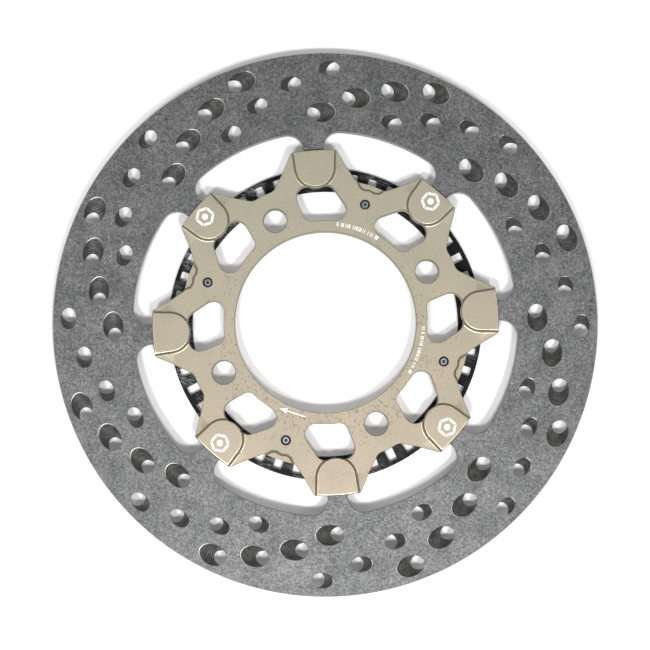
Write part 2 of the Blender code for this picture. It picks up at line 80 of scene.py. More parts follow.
# Brake band, as in the CAD model
BAND_INNER_R = 90.7 * MM
EDGE_CHAMFER = 0.25 * MM
RIM_CHAMFER = 0.4 * MM
ARMS = 8
ARM_PITCH = TURN / ARMS
PIN_CIRCLE_R = 74.5 * MM
EYE_R = 6.6 * MM
EYE_HOLE_R = 4.5 * MM
NECK_HALF_WIDTH = 4.7 * MM
NECK_FILLET_R = 7.5 * MM
HOLE_RADII = (120.5 * MM, 114.1 * MM, 107.3 * MM, 99.5 * MM)
HOLE_STEP = 9.07
LARGE_FRONT = {"start": 16.53, "front": 1.0, "back": 0.75, "lean": 5.65 * MM}
SMALL_FRONT = {"start": -6.03, "front": 0.75, "back": 1.0, "lean": -5.65 * MM}
HOLE_HALF_LENGTH = 6.8 * MM
HOLE_HALF_WIDTH = 4.9 * MM
HOLE_RIM = 0.2 * MM
HOLE_STEPS = 40

# Material numbers: FACE on every piece, the others on the band, and on the carrier one more for its
# chamfers and fillets, coloured brighter as a painted highlight
FACE = 0
DRILLED = 1
EDGE = 2
SIDE = 3
# the carrier's chamfers and fillets: brighter colour, a painted highlight
PAINTED_HIGHLIGHT_EDGE = 1

# Carrier, as in the CAD model
BORE_R = 42.5 * MM
PLATE_BOTTOM = 10.0 * MM
PLATE_TOP = 16.0 * MM
ARM_TIP_R = 81.3 * MM
BOLT_AXIS = 22.5
SCREW_AXIS = 67.5
QUARTERS = 4
QUARTER = TURN / QUARTERS
BOLT_CIRCLE_R = 53.2 * MM
BOLT_HOLE_R = 5.45 * MM
VALLEY_CORNER_R = 4.5 * MM
WINDOW_EDGE = 64.65 * MM
BULGE_R = 8.95 * MM
PAD_CENTRE_R = 72.75 * MM
PAD_EDGE_R = 81.0 * MM
PAD_FACE_R = 8.65 * MM
PAD_FLARE = 5.1
BORE_CHAMFER = 0.35 * MM
BOLT_CHAMFER = 0.4 * MM
EDGE_STEEP = 0.42           # faces between these slopes are chamfers and fillets
EDGE_FLAT = 0.995
MARK_HEIGHT = 0.02 * MM
MARK_ROOM = 0.04 * MM       # the pads end this much below the CAD box, for their marks
POCKET_R = 7.0 * MM
POCKET_ROOF = 14.9 * MM
LEDGE_TOP = 13.0 * MM

# Tone ring and its screws
RING_INNER_R = 63.1 * MM
RING_WINDOWS = 48
RING_WINDOW_INNER_R = 65.4 * MM
RING_WINDOW_OUTER_R = 72.5 * MM
RING_WINDOW_HALF_WIDTH = 1.95 * MM
SCREW_CIRCLE_R = 58.35 * MM
SCREW_R = 2.0 * MM
SCREW_TIP_R = 1.4 * MM
SCREW_HOLE_R = 2.3 * MM
SCREW_HEAD_R = 3.6 * MM
SCREW_HEAD_HEIGHT = 2.2 * MM
SOCKET_R = 1.4 * MM
SOCKET_DEPTH = 1.3 * MM
EAR_R = 4.8 * MM
BOSS_R = 4.4 * MM

# Pins, washers and circlips
PIN_R = 4.0 * MM
PIN_GROOVE_R = 3.4 * MM
SMALL_GAP = 0.3 * MM
WASHER_OUTER_R = 6.6 * MM
CIRCLIP_OUTER_R = 5.3 * MM
WAVE_SHEET = 0.5 * MM
WAVE_LOBES = 3

# White marks
MARK_OUTER_R = 4.6 * MM
MARK_INNER_R = 3.3 * MM
MARK_DOT_R = 1.5 * MM
ARROW_R = 45.2 * MM
ARROW_AXIS = 246.0
ARROW_HALF_LENGTH = 6.4 * MM

# Camera: it looks straight down, tilted a little, and the rotor is turned a little under it
CAMERA_ROLL = 3.95
CAMERA_TILT_X = -3.4
CAMERA_TILT_Y = 0.54
CAMERA_DISTANCE = 783.0 * MM
CAMERA_SHIFT = Vector((0.28 * MM, 1.37 * MM))
CAMERA_LENS = 92.4
SENSOR_WIDTH = 36.0
CLIP_START = 0.01

# Light and floor
LIGHT_DISTANCE = 1.6
KEY_AXES = {"key_left": 242.0, "key_right": 290.0}
KEY_LEAN = 18.5
KEY_SIZE = 0.14
KEY_POWER = 11.2
FILLS = 6
FILL_LEAN = 32.0
FILL_SIZE = 0.6
FILL_POWER = 1.2
SURROUND = 0.31
FLOOR_GLOW = 0.09
FLOOR_HALF = 3.0
FLOOR_DROP = 0.05 * MM


# ---- outlines

def polar(radius, degrees):
    """A point in the XY plane from its distance and its angle."""
    angle = math.radians(degrees)
    return Vector((radius * math.cos(angle), radius * math.sin(angle)))


def turned_by(points, degrees):
    """The same points turned about the axle."""
    rotation = Matrix.Rotation(math.radians(degrees), 2)
    return [rotation @ point for point in points]


def mirrored(points):
    """The same outline mirrored across the X axis, still running the same way round."""
    return [Vector((point.x, -point.y)) for point in reversed(points)]


def arc(centre, radius, start, end, steps):
    """Points along an arc, both ends included."""
    return [centre + polar(radius, start + (end - start) * i / steps) for i in range(steps + 1)]


def circle(radius, steps, centre=ORIGIN):
    """A closed circle, counter-clockwise."""
    return [centre + polar(radius, TURN * i / steps) for i in range(steps)]


def rounded_corner(before, corner, after, radius, steps):
    """The arc that rounds one corner of a polygon; radius 0 keeps the corner."""
    if radius == 0:
        return [corner]
    back = (before - corner).normalized()
    forward = (after - corner).normalized()
    half = math.acos(max(-1.0, min(1.0, back.dot(forward)))) / 2
    centre = corner + (back + forward).normalized() * (radius / math.sin(half))
    reach = radius / math.tan(half)
    first = corner + back * reach - centre
    last = corner + forward * reach - centre
    sweep = math.atan2(first.x * last.y - first.y * last.x, first.dot(last))
    return [centre + Matrix.Rotation(sweep * i / steps, 2) @ first for i in range(steps + 1)]


def rounded(corners, steps):
    """A closed polygon of (point, radius) with its corners replaced by arcs."""
    outline = []
    count = len(corners)
    for i, (point, radius) in enumerate(corners):
        before = corners[i - 1][0]
        after = corners[(i + 1) % count][0]
        outline += rounded_corner(before, point, after, radius, steps)
    return outline


def inset(outline, distance):
    """Move a counter-clockwise outline inwards; a negative distance moves it outwards."""
    moved = []
    count = len(outline)
    for i, point in enumerate(outline):
        along = (point - outline[i - 1]).normalized()
        ahead = (outline[(i + 1) % count] - point).normalized()
        first = Vector((-along.y, along.x))
        second = Vector((-ahead.y, ahead.x))
        middle = (first + second).normalized()
        moved.append(point + middle * (distance / max(0.3, middle.dot(first))))
    return moved


# ---- meshes

class Slab:
    """A flat solid: walls lofted between rings, and a cap at the top and one at the bottom.

    An outer wall is given counter-clockwise and a hole's wall too; each is a list of rings
    (outline, height, material) from the top down. The material is that of the wall below.
    """

    def __init__(self):
        self.vertices = []
        self.faces = []
        self.materials = []
        self.top = []
        self.bottom = []

    def add_wall(self, rings, is_hole=False):
        """Loft one closed wall and remember its ends for the caps."""
        loops = []
        for outline, height, _ in rings:
            start = len(self.vertices)
            self.vertices += [(point.x, point.y, height) for point in outline]
            loops.append(list(range(start, start + len(outline))))
        for (upper, lower), (_, _, material) in zip(zip(loops, loops[1:]), rings):
            count = len(upper)
            for i in range(count):
                j = (i + 1) % count
                face = (upper[i], lower[i], lower[j], upper[j])
                self.faces.append(face[::-1] if is_hole else face)
                self.materials.append(material)
        self.top.append(loops[0])
        self.bottom.append(loops[-1])

    def add_cap(self, loops, facing_up):
        """Fill the first loop, less the others, with triangles."""
        points = []
        owners = []
        outlines = []
        for loop in loops:
            outlines.append(list(range(len(points), len(points) + len(loop))))
            points += [Vector(self.vertices[i][:2]) / MM for i in loop]
            owners += loop
        found = delaunay_2d_cdt(points, [], outlines, 0, CAP_TOLERANCE, True)
        for triangle, inside in zip(found[2], found[5]):
            if inside != [0]:
                continue
            corners = [found[0][i] for i in triangle]
            face = [owners[found[3][i][0]] for i in triangle]
            turns_left = (corners[1] - corners[0]).cross(corners[2] - corners[0]) > 0
            if turns_left != facing_up:
                face.reverse()
            self.faces.append(tuple(face))
            self.materials.append(FACE)

    def build(self, name, material_list):
        """Cap the ends and make the object."""
        self.add_cap(self.top, True)
        self.add_cap(self.bottom, False)
        mesh = bpy.data.meshes.new(name)
        mesh.from_pydata(self.vertices, [], self.faces)
        mesh.polygons.foreach_set("material_index", self.materials)
        return new_piece(name, mesh, material_list)


def new_piece(name, mesh, material_list):
    """Make an object of a mesh, smooth where it is round and sharp at its edges."""
    for material in material_list:
        mesh.materials.append(material)
    mesh.shade_smooth()
    mesh.set_sharp_from_angle(angle=math.radians(SHARP_ANGLE))
    piece = bpy.data.objects.new(name, mesh)
    bpy.context.scene.collection.objects.link(piece)
    return piece


def keep_flats(piece):
    """Make the large flat faces rule the normals, so that fillets don't shade them."""
    weights = piece.modifiers.new("Flats", "WEIGHTED_NORMAL")
    weights.keep_sharp = True
    weights.weight = 100


def chamfered(outline, top, bottom, chamfer, wall=FACE, edge=FACE, is_hole=False):
    """Rings of a straight wall with both edges chamfered."""
    size = -chamfer if is_hole else chamfer
    return [
        (inset(outline, size), top, edge),
        (outline, top - chamfer, wall),
        (outline, bottom + chamfer, edge),
        (inset(outline, size), bottom, wall),
    ]


def turned(name, profile, steps, material_list):
    """A solid of revolution about Z; the profile runs down its outer side."""
    vertices = []
    faces = []
    for radius, height in profile:
        vertices += [(point.x, point.y, height) for point in circle(radius, steps)]
    closed = profile[0] == profile[-1]
    rows = len(profile) - 1
    for row in range(rows):
        below = 0 if closed and row == rows - 1 else row + 1
        for i in range(steps):
            j = (i + 1) % steps
            faces.append((row * steps + i, below * steps + i, below * steps + j, row * steps + j))
    if closed:
        vertices = vertices[:rows * steps]
    else:
        faces.append(tuple(range(steps)))
        faces.append(tuple(reversed(range(rows * steps, rows * steps + steps))))
    mesh = bpy.data.meshes.new(name)
    mesh.from_pydata(vertices, [], faces)
    return new_piece(name, mesh, material_list)


def joined_copies(name, master, matrices):
    """One object that holds a copy of a solid at each matrix; the master is removed."""
    shape = bmesh.new()
    for matrix in matrices:
        copy = master.data.copy()
        copy.transform(matrix)
        shape.from_mesh(copy)
        bpy.data.meshes.remove(copy)
    mesh = bpy.data.meshes.new(name)
    shape.to_mesh(mesh)
    shape.free()
    bpy.data.objects.remove(master, do_unlink=True)
    piece = bpy.data.objects.new(name, mesh)
    bpy.context.scene.collection.objects.link(piece)
    return piece


def around_axle(count, start=0.0):
    """Matrices that repeat a solid evenly about the axle."""
    return [Matrix.Rotation(math.radians(start + TURN * i / count), 4, "Z") for i in range(count)]


def combine(target, tool, operation):
    """Cut a tool out of a solid, or add it, and remove the tool."""
    boolean = target.modifiers.new(tool.name, "BOOLEAN")
    boolean.operation = operation
    boolean.solver = "MANIFOLD"
    boolean.object = tool
    bpy.context.view_layer.update()
    evaluated = target.evaluated_get(bpy.context.evaluated_depsgraph_get())
    mesh = bpy.data.meshes.new_from_object(evaluated)
    target.modifiers.clear()
    target.data = mesh
    bpy.data.objects.remove(tool, do_unlink=True)


# ---- materials

class Shader:
    """A material with its nodes: short calls to add nodes and join them."""

    def __init__(self, name, metallic, roughness):
        self.material = bpy.data.materials.new(name)
        self.material.use_nodes = True
        self.tree = self.material.node_tree
        self.surface = self.tree.nodes["Principled BSDF"]
        self.surface.inputs["Metallic"].default_value = metallic
        self.surface.inputs["Roughness"].default_value = roughness
        coordinates = self.tree.nodes.new("ShaderNodeTexCoord")
        self.place = coordinates.outputs["Object"]

    def node(self, kind, **settings):
        """Add a node and set its properties."""
        made = self.tree.nodes.new(kind)
        for key, value in settings.items():
            setattr(made, key, value)
        return made

    def put(self, socket, value):
        """Give a socket a number, a colour or a link."""
        if isinstance(value, bpy.types.NodeSocket):
            self.tree.links.new(value, socket)
        else:
            socket.default_value = value

    def mapped(self, scale, turn=0.0):
        """The object's coordinates turned about Z and then scaled."""
        turning = self.node("ShaderNodeMapping")
        self.put(turning.inputs["Vector"], self.place)
        turning.inputs["Rotation"].default_value = (0.0, 0.0, math.radians(turn))
        scaling = self.node("ShaderNodeMapping")
        self.put(scaling.inputs["Vector"], turning.outputs["Vector"])
        scaling.inputs["Scale"].default_value = scale
        return scaling.outputs["Vector"]

    def noise(self, scale, detail=2.0, roughness=0.5, vector=None):
        """Noise, with its scale in cells a metre."""
        noise = self.node("ShaderNodeTexNoise")
        self.put(noise.inputs["Vector"], vector if vector else self.place)
        noise.inputs["Scale"].default_value = scale
        noise.inputs["Detail"].default_value = detail
        noise.inputs["Roughness"].default_value = roughness
        return noise.outputs["Fac"]

    def math(self, operation, first, second=0.5):
        """A math node on two values."""
        made = self.node("ShaderNodeMath", operation=operation)
        self.put(made.inputs[0], first)
        self.put(made.inputs[1], second)
        return made.outputs["Value"]

    def ramp(self, value, low, high, from_low=0.0, from_high=1.0):
        """Map a value from one range to another, clamped."""
        made = self.node("ShaderNodeMapRange")
        self.put(made.inputs["Value"], value)
        made.inputs["From Min"].default_value = from_low
        made.inputs["From Max"].default_value = from_high
        made.inputs["To Min"].default_value = low
        made.inputs["To Max"].default_value = high
        return made.outputs["Result"]

    def mix(self, factor, first, second, blend="MIX"):
        """Mix two colours."""
        made = self.node("ShaderNodeMix", data_type="RGBA", blend_type=blend)
        self.put(made.inputs["Factor"], factor)
        self.put(made.inputs[6], first)
        self.put(made.inputs[7], second)
        return made.outputs[2]

    def scratches(self, turns, length, width, threshold):
        """Fine straight scratches in a few directions, 1 on a scratch and 0 elsewhere."""
        total = None
        for turn in turns:
            place = self.mapped((1 / length, 1 / width, 1 / length), turn)
            streaks = self.noise(1.0, 0.0, 0.5, place)
            line = self.ramp(streaks, 0.0, 1.0, threshold, threshold + 0.04)
            total = line if total is None else self.math("MAXIMUM", total, line)
        return total

    def bump(self, height, distance, strength=1.0):
        """Feed a height into the surface's normal; distance is the height's size."""
        bump = self.node("ShaderNodeBump")
        bump.inputs["Strength"].default_value = strength
        bump.inputs["Distance"].default_value = distance
        self.put(bump.inputs["Height"], height)
        self.put(self.surface.inputs["Normal"], bump.outputs["Normal"])

    def finish(self, colour, roughness=None):
        """Set the colour and the roughness."""
        self.put(self.surface.inputs["Base Color"], colour)
        if roughness is not None:
            self.put(self.surface.inputs["Roughness"], roughness)
        return self.material


def rgb(red, green, blue):
    """A colour with full alpha."""
    return (red, green, blue, 1.0)


def band_steel():
    """Matte ground stainless steel: fine speckle, soft clouds, pale specks and a few scratches."""
    shader = Shader("band_steel", 1.0, 0.55)
    speckle = shader.noise(1900.0, 3.0, 0.8)
    mottle = shader.noise(800.0, 3.0, 0.65)
    cloud = shader.noise(75.0, 3.0, 0.6)
    sharp = shader.ramp(speckle, 0.0, 1.0, 0.36, 0.64)
    grey = shader.mix(sharp, rgb(0.045, 0.046, 0.046), rgb(0.195, 0.195, 0.195))
    mottled = shader.ramp(mottle, 0.0, 1.0, 0.34, 0.66)
    blotch = shader.mix(mottled, rgb(0.70, 0.70, 0.70), rgb(1.25, 1.25, 1.25))
    clouded = shader.ramp(cloud, 0.0, 1.0, 0.35, 0.65)
    soft = shader.mix(clouded, rgb(0.85, 0.855, 0.86), rgb(1.14, 1.14, 1.14))
    body = shader.mix(1.0, shader.mix(1.0, grey, blotch, "MULTIPLY"), soft, "MULTIPLY")
    marks = shader.scratches((24.0, -37.0, 78.0), 14.0 * MM, 0.24 * MM, 0.79)
    specks = shader.ramp(shader.noise(1500.0, 1.0, 0.5), 0.0, 1.0, 0.73, 0.76)
    faint = shader.math("MULTIPLY", marks, 0.4)
    pale = shader.math("MAXIMUM", faint, shader.math("MULTIPLY", specks, 0.7))
    colour = shader.mix(pale, body, rgb(0.36, 0.36, 0.36))
    shader.bump(shader.math("ADD", speckle, shader.math("MULTIPLY", marks, -0.6)), 0.02 * MM)
    return shader.finish(colour, shader.ramp(speckle, 0.45, 0.65))


def drilled_steel():
    """The walls of the slanted holes, with the drill's fine rings."""
    shader = Shader("drilled_steel", 0.8, 0.5)
    height = shader.node("ShaderNodeSeparateXYZ")
    shader.put(height.inputs["Vector"], shader.place)
    wobble = shader.math("MULTIPLY", shader.noise(300.0, 2.0), 0.9 * MM)
    level = shader.math("ADD", height.outputs["Z"], wobble)
    rings = shader.math("SINE", shader.math("MULTIPLY", level, TURN_RADIANS / (0.6 * MM)))
    rings = shader.ramp(rings, 0.0, 1.0, -0.4, 1.0)
    patches = shader.noise(450.0, 3.0, 0.6)
    blend = shader.math("MULTIPLY", rings, shader.ramp(patches, 0.1, 1.0, 0.3, 0.65))
    colour = shader.mix(blend, rgb(0.072, 0.075, 0.069), rgb(0.43, 0.44, 0.41))
    shader.bump(rings, 0.06 * MM)
    return shader.finish(colour, shader.ramp(patches, 0.40, 0.6))


def cut_edge():
    """The band's machined edges, coloured brighter than its faces as a painted highlight along the
    chamfers and hole rims.
    """
    shader = Shader("cut_edge", 1.0, 0.3)
    grain = shader.noise(900.0, 3.0, 0.6)
    colour = shader.mix(grain, rgb(0.26, 0.255, 0.245), rgb(0.50, 0.49, 0.47))
    return shader.finish(colour, shader.ramp(grain, 0.32, 0.50))


def band_side():
    """The turned outer and inner walls of the band: fine rings along its edge."""
    shader = Shader("band_side", 1.0, 0.4)
    height = shader.node("ShaderNodeSeparateXYZ")
    shader.put(height.inputs["Vector"], shader.place)
    rings = shader.noise(1.0, 1.0, 0.5, shader.mapped((8.0, 8.0, 5200.0)))
    colour = shader.mix(rings, rgb(0.13, 0.13, 0.132), rgb(0.25, 0.25, 0.25))
    shader.bump(rings, 0.02 * MM)
    return shader.finish(colour, shader.ramp(rings, 0.3, 0.5))


def anodised():
    """Champagne anodised aluminium: fine grain, soft patches, small dark pits near the bore, and
    painted light and shade across it.
    """
    shader = Shader("anodised_aluminium", 0.6, 0.52)
    grain = shader.noise(1500.0, 3.0, 0.7)
    patch = shader.noise(60.0, 3.0, 0.55)
    sharp = shader.ramp(grain, 0.0, 1.0, 0.34, 0.66)
    light = shader.mix(sharp, rgb(0.230, 0.201, 0.151), rgb(0.336, 0.297, 0.230))
    warm = shader.mix(shader.ramp(patch, 0.0, 0.45, 0.35, 0.7), light, rgb(0.336, 0.284, 0.216))
    place = shader.node("ShaderNodeSeparateXYZ")
    shader.put(place.inputs["Vector"], shader.place)
    # Painted light and shade: the coat is lighter and greener towards +Y and darker and warmer towards
    # -Y, standing in for how light falls across the carrier.
    across = shader.ramp(place.outputs["Y"], 0.0, 1.0, -PAD_EDGE_R, PAD_EDGE_R)
    painted_light_tint = shader.mix(across, rgb(0.97, 0.935, 0.925), rgb(1.01, 1.08, 1.07))
    warm = shader.mix(1.0, warm, painted_light_tint, "MULTIPLY")
    dashes = shader.noise(1.0, 2.0, 0.5, shader.mapped((650.0, 1800.0, 650.0), 62.0))
    reach = shader.node("ShaderNodeVectorMath", operation="LENGTH")
    shader.put(reach.inputs[0], shader.place)
    threshold = shader.math(
        "ADD",
        shader.ramp(place.outputs["Y"], 0.59, 0.665, -40.0 * MM, 45.0 * MM),
        shader.ramp(reach.outputs["Value"], 0.0, 0.09, 54.0 * MM, 68.0 * MM),
    )
    excess = shader.math("SUBTRACT", dashes, threshold)
    pits = shader.math("MULTIPLY", shader.ramp(excess, 0.0, 1.0, 0.0, 0.05), 0.68)
    colour = shader.mix(pits, warm, rgb(0.07, 0.06, 0.045))
    shader.bump(shader.math("SUBTRACT", grain, pits), 0.015 * MM)
    return shader.finish(colour, shader.ramp(grain, 0.44, 0.60))


def anodised_edge():
    """The carrier's chamfers and fillets: the same coat in a brighter colour, a painted highlight along
    its edges.
    """
    shader = Shader("anodised_edge", 0.8, 0.36)
    grain = shader.noise(1100.0, 3.0, 0.6)
    colour = shader.mix(grain, rgb(0.36, 0.31, 0.235), rgb(0.62, 0.55, 0.43))
    shader.bump(grain, 0.01 * MM)
    return shader.finish(colour, shader.ramp(grain, 0.30, 0.44))


def black_coat():
    """The tone ring's black coating with grey streaks, more of them towards -X."""
    shader = Shader("tone_ring_black", 0.0, 0.45)
    shader.surface.inputs["Specular IOR Level"].default_value = 0.10
    grain = shader.noise(1300.0, 3.0, 0.65)
    colour = shader.mix(grain, rgb(0.001, 0.001, 0.001), rgb(0.006, 0.006, 0.0065))
    streaks = shader.noise(1.0, 3.0, 0.7, shader.mapped((350.0, 1700.0, 350.0), 20.0))
    where = shader.ramp(shader.noise(70.0, 2.0, 0.6), 0.0, 1.0, 0.42, 0.56)
    grey_streaks = shader.math("MULTIPLY", shader.ramp(streaks, 0.0, 1.0, 0.44, 0.62), where)
    place = shader.node("ShaderNodeSeparateXYZ")
    shader.put(place.inputs["Vector"], shader.place)
    side = shader.ramp(place.outputs["X"], 0.95, 0.25, -30.0 * MM, 50.0 * MM)
    colour = shader.mix(shader.math("MULTIPLY", grey_streaks, side), colour, rgb(0.22, 0.22, 0.225))
    shader.bump(grain, 0.03 * MM)
    return shader.finish(colour, shader.ramp(grain, 0.35, 0.6))


def hardware_steel(name, dark, bright, roughness, grain_scale=700.0):
    """Steel of a small part, turned or plated, with a fine uneven finish."""
    shader = Shader(name, 1.0, roughness)
    grain = shader.noise(grain_scale, 3.0, 0.6)
    streak = shader.noise(1.0, 1.0, 0.5, shader.mapped((60.0, 60.0, 4200.0)))
    blend = shader.math("MULTIPLY", shader.math("ADD", grain, streak), 0.5)
    colour = shader.mix(blend, dark, bright)
    shader.bump(blend, 0.02 * MM)
    return shader.finish(colour, shader.ramp(grain, roughness - 0.08, roughness + 0.12))


def laser_white():
    """White laser marking, slightly uneven."""
    shader = Shader("laser_mark", 0.0, 0.6)
    grain = shader.noise(2500.0, 2.0, 0.6)
    colour = shader.mix(grain, rgb(0.74, 0.73, 0.70), rgb(0.93, 0.92, 0.89))
    shader.bump(grain, 0.01 * MM)
    return shader.finish(colour)


# ---- brake band

def tongue_edge():
    """The edge of one tongue, which points towards the axle from +X, in order of angle."""
    fillet_y = NECK_HALF_WIDTH + NECK_FILLET_R
    fillet_x = math.sqrt((BAND_INNER_R - NECK_FILLET_R) ** 2 - fillet_y ** 2)
    fillet = Vector((fillet_x, fillet_y))
    eye = Vector((PIN_CIRCLE_R, 0.0))
    between = fillet - eye
    lean = math.degrees(math.acos((EYE_R + NECK_FILLET_R) / between.length))
    tangent = math.degrees(math.atan2(between.y, between.x)) + lean
    meets_band = TURN + math.degrees(math.atan2(fillet.y, fillet.x))
    upper = arc(fillet, NECK_FILLET_R, tangent + TURN / 2, meets_band, 14)
    tip = arc(eye, EYE_R, -tangent, tangent - TURN, 26)
    return mirrored(upper) + tip + upper


def band_inside():
    """The band's inner outline: tongues joined by arcs, in order of angle."""
    edge = tongue_edge()
    end = math.degrees(math.atan2(edge[-1].y, edge[-1].x))
    window = arc(ORIGIN, BAND_INNER_R, end, ARM_PITCH - end, 26)[1:-1]
    outline = []
    for arm in range(ARMS):
        outline += turned_by(edge + window, arm * ARM_PITCH)
    return outline


def oval(half_length, half_width, centre, degrees):
    """An oval hole mouth, long across the radius through its centre."""
    points = []
    for i in range(HOLE_STEPS):
        angle = math.tau * i / HOLE_STEPS
        across = half_width * math.cos(angle)
        points.append(centre + Vector((across, half_length * math.sin(angle))))
    return turned_by(points, degrees)


def slanted_hole(slab, kind, radius, degrees):
    """Add one slanted, tapering hole to the band: chamfered mouths and a leaning wall."""
    depth = BAND_TOP - BAND_BOTTOM
    levels = (
        (HOLE_RIM, 0.0, EDGE),
        (0.0, HOLE_RIM / depth, DRILLED),
        (0.0, 1.0 - HOLE_RIM / depth, EDGE),
        (HOLE_RIM, 1.0, DRILLED),
    )
    rings = []
    for rim, share, material in levels:
        size = kind["front"] + (kind["back"] - kind["front"]) * share
        length = HOLE_HALF_LENGTH * size - HOLE_RIM + rim
        width = HOLE_HALF_WIDTH * size - HOLE_RIM + rim
        centre = Vector((radius, kind["lean"] * (share - 0.5)))
        rings.append((oval(length, width, centre, degrees), BAND_TOP - depth * share, material))
    slab.add_wall(rings, True)


def make_band(materials):
    """The drilled brake band with its eight tongues."""
    slab = Slab()
    rim = circle(BAND_OUTER_R, 240)
    slab.add_wall(chamfered(rim, BAND_TOP, BAND_BOTTOM, RIM_CHAMFER, SIDE, EDGE))
    slab.add_wall(chamfered(band_inside(), BAND_TOP, BAND_BOTTOM, EDGE_CHAMFER, SIDE, EDGE, True), True)
    for arm in range(ARMS):
        eye = circle(EYE_HOLE_R, 32, polar(PIN_CIRCLE_R, arm * ARM_PITCH))
        slab.add_wall(chamfered(eye, BAND_TOP, BAND_BOTTOM, EDGE_CHAMFER, SIDE, EDGE, True), True)
    for kind in (LARGE_FRONT, SMALL_FRONT):
        for sector in range(ARMS):
            for i, radius in enumerate(HOLE_RADII):
                slanted_hole(slab, kind, radius, kind["start"] + HOLE_STEP * i + ARM_PITCH * sector)
    band = slab.build("brake_band_fine", materials)
    keep_flats(band)
    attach(band, "brake_band")
    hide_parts("brake_band")


# ---- carrier

def arm_corners():
    """Corners of one arm, from the bolt valley at its right to the screw valley at its left."""
    return [
        (polar(66.45 * MM, -BOLT_AXIS), 6.0 * MM),
        (polar(66.25 * MM, -17.8), VALLEY_CORNER_R),
        (polar(73.55 * MM, -11.85), VALLEY_CORNER_R),
        (polar(ARM_TIP_R, -7.7), 1.2 * MM),
        (polar(ARM_TIP_R, -3.5), 0.0),
        (polar(ARM_TIP_R, 0.0), 0.0),
        (polar(ARM_TIP_R, 3.5), 0.0),
        (polar(ARM_TIP_R, 7.7), 1.2 * MM),
        (polar(73.55 * MM, 11.85), VALLEY_CORNER_R),
        (polar(68.05 * MM, 16.1), 1.5 * MM),
        (polar(68.05 * MM, 20.5), 0.0),
    ]


def carrier_outline():
    """The carrier's outer edge: eight arms, alternately mirrored."""
    arm = arm_corners()
    other = [(Vector((point.x, -point.y)), radius) for point, radius in reversed(arm[1:])]
    corners = []
    for quarter in range(QUARTERS):
        for shape, degrees in ((arm, ARM_PITCH), (other, 2 * ARM_PITCH)):
            turn = Matrix.Rotation(math.radians(degrees + quarter * QUARTER), 2)
            corners += [(turn @ point, radius) for point, radius in shape]
    return rounded(corners, 10)


def window_outline():
    """The window behind the pad at +X: bolt hole on its right, screw on its left."""
    corners = [
        (Vector((WINDOW_EDGE, -11.7 * MM)), 5.3 * MM),
        (Vector((47.65 * MM, -5.95 * MM)), 4.0 * MM),
        (Vector((47.9 * MM, 0.5 * MM)), 0.0),
        (Vector((46.45 * MM, 17.65 * MM)), 5.1 * MM),
        (Vector((WINDOW_EDGE, 6.95 * MM)), 5.0 * MM),
    ]
    half = math.degrees(math.acos((PAD_CENTRE_R - WINDOW_EDGE) / BULGE_R))
    bulge = arc(Vector((PAD_CENTRE_R, 0.0)), BULGE_R, TURN / 2 - half, TURN / 2 + half, 14)
    return rounded(corners, 12) + bulge


def counter_clockwise(outline):
    """The same outline, turned to run counter-clockwise."""
    area = sum(outline[i - 1].cross(outline[i]) for i in range(len(outline)))
    return outline if area > 0 else list(reversed(outline))


def window_tools():
    """Cutters for all eight windows with chamfered edges, alternately mirrored like the arms."""
    window = counter_clockwise(window_outline())
    tools = []
    kinds = (("windows", window, ARM_PITCH), ("other_windows", mirrored(window), 0.0))
    for name, outline, start in kinds:
        wide = inset(outline, -EDGE_CHAMFER)
        slab = Slab()
        slab.add_wall([
            (wide, PAD_TOP + OVERSHOOT, FACE),
            (wide, PLATE_TOP, FACE),
            (outline, PLATE_TOP - EDGE_CHAMFER, FACE),
            (outline, PLATE_BOTTOM + EDGE_CHAMFER, FACE),
            (wide, PLATE_BOTTOM, FACE),
            (wide, PLATE_BOTTOM - OVERSHOOT, FACE),
        ])
        tool = slab.build(name + "_one", [])
        tools.append(joined_copies(name, tool, around_axle(QUARTERS, start)))
    return tools


def pad_outline(face_offset, tip):
    """A pad's outline: round towards the axle, sides that open slightly, and an arc at the tip."""
    radius = PAD_FACE_R + face_offset
    flare = math.radians(PAD_FLARE)
    centre = Vector((PAD_CENTRE_R, 0.0))
    round_end = arc(centre, radius, 90.0 + PAD_FLARE, 270.0 - PAD_FLARE, 28)
    start = round_end[-1]
    along = Vector((math.cos(flare), -math.sin(flare)))
    middle = start.dot(along)
    reach = math.sqrt(middle ** 2 + tip ** 2 - start.length_squared) - middle
    corner = start + along * reach
    end = math.degrees(math.atan2(corner.y, corner.x))
    return round_end + arc(ORIGIN, tip, end, -end, 12)


def pad_master():
    """One raised pad: rounded upper edge, steep side and a fillet at its foot."""
    top = PAD_TOP - MARK_ROOM
    rise = top - PLATE_TOP
    sections = (
        (-0.05, 1.00, 0.50),
        (0.14, 0.97, 0.25),
        (0.28, 0.88, 0.08),
        (0.38, 0.76, 0.0),
        (0.74, 0.36, 0.0),
        (0.94, 0.18, 0.0),
        (1.22, 0.06, 0.0),
        (1.65, -0.01, 0.0),
        (1.65, -1.5, 0.0),
    )
    slab = Slab()
    rings = []
    for offset, height, tip_cut in sections:
        outline = pad_outline(offset * MM, PAD_EDGE_R - tip_cut * MM)
        rings.append((outline, PLATE_TOP + rise * height, FACE))
    slab.add_wall(rings)
    return slab.build("pad", [])


def prism(name, outline, bottom, top):
    """A plain upright prism."""
    slab = Slab()
    slab.add_wall([(outline, top, FACE), (outline, bottom, FACE)])
    return slab.build(name, [])


def pocket_tool():
    """Eight pockets under the pads, open outwards and to the back."""
    mouth = PAD_EDGE_R + 2.0 * MM
    outline = arc(Vector((PIN_CIRCLE_R, 0.0)), POCKET_R, 90.0, 270.0, 28)
    outline += [Vector((mouth, -POCKET_R)), Vector((mouth, POCKET_R))]
    pocket = prism("pocket", outline, PLATE_BOTTOM - OVERSHOOT, POCKET_ROOF)
    return joined_copies("pockets", pocket, around_axle(ARMS))


